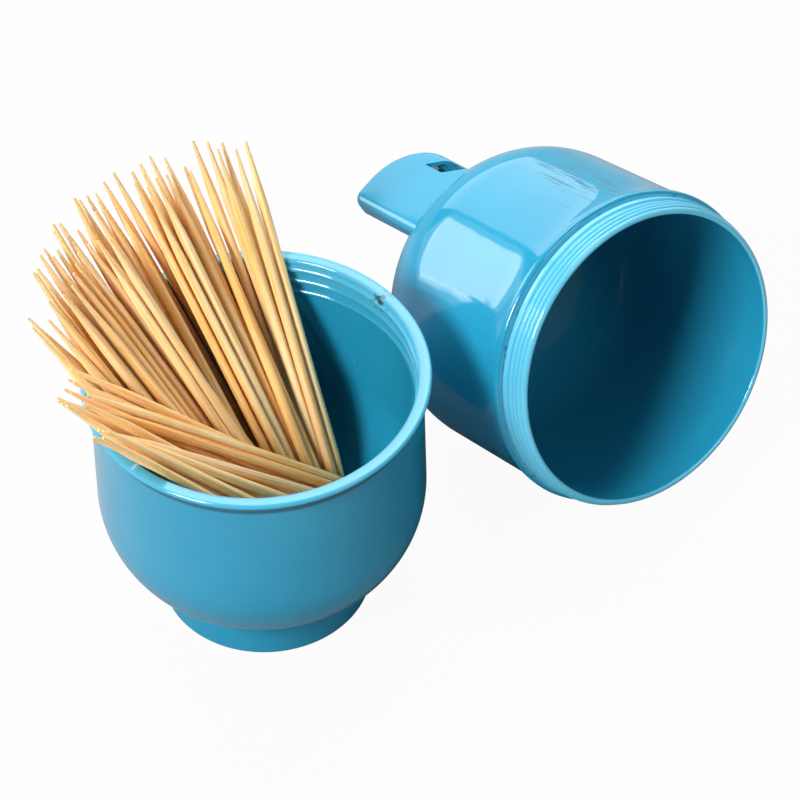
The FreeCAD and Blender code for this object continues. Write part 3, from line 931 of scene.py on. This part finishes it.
# glossOnly lamps are seen in reflections but add no light
lamps = {
    "key": {"heading": 226, "rise": 41, "distance": 0.9, "size": (0.28, 0.28), "power": 9.3},
    "rightFill": {"heading": 325, "rise": 35, "distance": 0.9, "size": (0.25, 0.25), "power": 1.1},
    "topSoftbox": {"heading": 91, "rise": 58, "distance": 0.9, "size": (0.9, 0.5), "power": 6.9},
    "backdrop": {"heading": 88, "rise": 22, "distance": 0.9, "size": (1.54, 0.66), "power": 6.8},
    "leftSoftbox": {
        "heading": 152.5, "rise": 14.6, "roll": -33, "distance": 0.75, "size": (0.43, 0.22),
        "power": 1.15, "shape": "ELLIPSE",
    },
    "leftStrip": {
        "heading": 165.5, "rise": 3.6, "distance": 0.75, "size": (0.06, 0.04), "power": 0.03,
    },
    "leftGlow": {
        "heading": 172, "rise": 10, "distance": 1.1, "size": (1.5, 0.9), "power": 4.7,
        "glossOnly": True,
    },
}

view = {
    "target": (21.6, 14.1, 25.0), "distance": 1021.4, "heading": 91.35, "pitch": 47.35,
    "roll": -1.84, "focal": 292.5, "sensor": 36.0, "farthest": 20,
}


def makeFloor():
    s = stage
    mesh = bmesh.new()
    bmesh.ops.create_grid(mesh, x_segments=1, y_segments=1, size=s["floorSize"] / 2)
    floor = toObject(mesh, "floor")
    finish = Finish("paleFloor")
    finish.feed("Base Color", s["floorColour"])
    finish.feed("Roughness", s["floorRoughness"])

    def glow(strength):
        return finish.add("ShaderNodeEmission", {}, {"Strength": strength})

    seen = finish.add("ShaderNodeLightPath", output="Is Camera Ray")
    glossy = finish.add("ShaderNodeLightPath", output="Is Glossy Ray")
    where = finish.add("ShaderNodeTexCoord", output="Object")
    own = Wire(finish, finish.shader.outputs[0])
    surface = finish.cover(seen * s["white"], own, glow(1.0))
    # in the gloss the floor is dim close to the pieces, where they keep light off it
    apart = finish.add("ShaderNodeVectorMath", {"operation": "ADD"}, {0: where, 1: s["dimCentre"]})
    reach = finish.add("ShaderNodeVectorMath", {"operation": "LENGTH"}, {0: apart}, output="Value")
    dimmed = finish.remap(reach, s["dimTo"], s["dimFrom"], s["dim"], 0)
    surface = finish.cover(glossy * dimmed, surface, glow(0.0))
    # behind the pieces it sweeps up into the lit backdrop, and is as bright in the gloss
    behind = finish.add("ShaderNodeSeparateXYZ", {}, {"Vector": where}, output="Y")
    swept = finish.remap(behind, s["sweepFrom"], s["sweepTo"])
    surface = finish.cover(glossy * swept, surface, glow(s["sweep"]))
    finish.plug(finish.surface, surface)
    floor.data.materials.append(finish.material)


def makeWorld():
    # white behind the object, and weaker as fill light and in the gloss
    world = bpy.data.worlds.new("studio")
    world.use_nodes = True
    tree = world.node_tree
    background = tree.nodes["Background"]
    background.inputs["Color"].default_value = (1, 1, 1, 1)
    path = tree.nodes.new("ShaderNodeLightPath")

    def choose(ray, strength):
        # 0 is the factor, 3 what this kind of ray gets and 2 what the others get
        choice = tree.nodes.new("ShaderNodeMix")
        choice.inputs[3].default_value = strength
        tree.links.new(path.outputs[ray], choice.inputs[0])
        return choice.inputs[2], choice.outputs[0]

    others, glossy = choose("Is Glossy Ray", stage["mirrored"])
    others.default_value = stage["fill"]
    others, shown = choose("Is Camera Ray", stage["shown"])
    tree.links.new(glossy, others)
    tree.links.new(shown, background.inputs["Strength"])
    bpy.context.scene.world = world


def direction(heading, rise):
    flat = math.cos(math.radians(rise))
    return Vector((
        flat * math.cos(math.radians(heading)),
        flat * math.sin(math.radians(heading)),
        math.sin(math.radians(rise)),
    ))


def facing(away, roll):
    # a turn that points a lamp or camera back along away
    upright = away.to_track_quat("Z", "Y").to_matrix().to_4x4()
    return upright @ Matrix.Rotation(math.radians(roll), 4, "Z")


def makeLamp(name, settings):
    light = bpy.data.lights.new(name, "AREA")
    light.shape = settings.get("shape", "RECTANGLE")
    light.size, light.size_y = settings["size"]
    light.energy = settings["power"]
    lamp = bpy.data.objects.new(name, light)
    lamp.visible_diffuse = not settings.get("glossOnly", False)
    target = Vector(view["target"]) * mm
    away = direction(settings["heading"], settings["rise"])
    place = Matrix.Translation(target + away * settings["distance"])
    lamp.matrix_world = place @ facing(away, settings.get("roll", 0))
    bpy.context.scene.collection.objects.link(lamp)


def makeCamera():
    data = bpy.data.cameras.new("camera")
    data.sensor_width = view["sensor"]
    data.lens = view["focal"]
    data.clip_end = view["farthest"]
    camera = bpy.data.objects.new("camera", data)
    target = Vector(view["target"]) * mm
    away = -direction(view["heading"], -view["pitch"])
    place = Matrix.Translation(target + away * view["distance"] * mm)
    camera.matrix_world = place @ facing(away, view["roll"])
    bpy.context.scene.collection.objects.link(camera)
    bpy.context.scene.camera = camera


makeFloor()
makeWorld()
for name, settings in lamps.items():
    makeLamp(name, settings)
makeCamera()
bpy.context.scene.view_settings.view_transform = "Standard"
print("stage set")
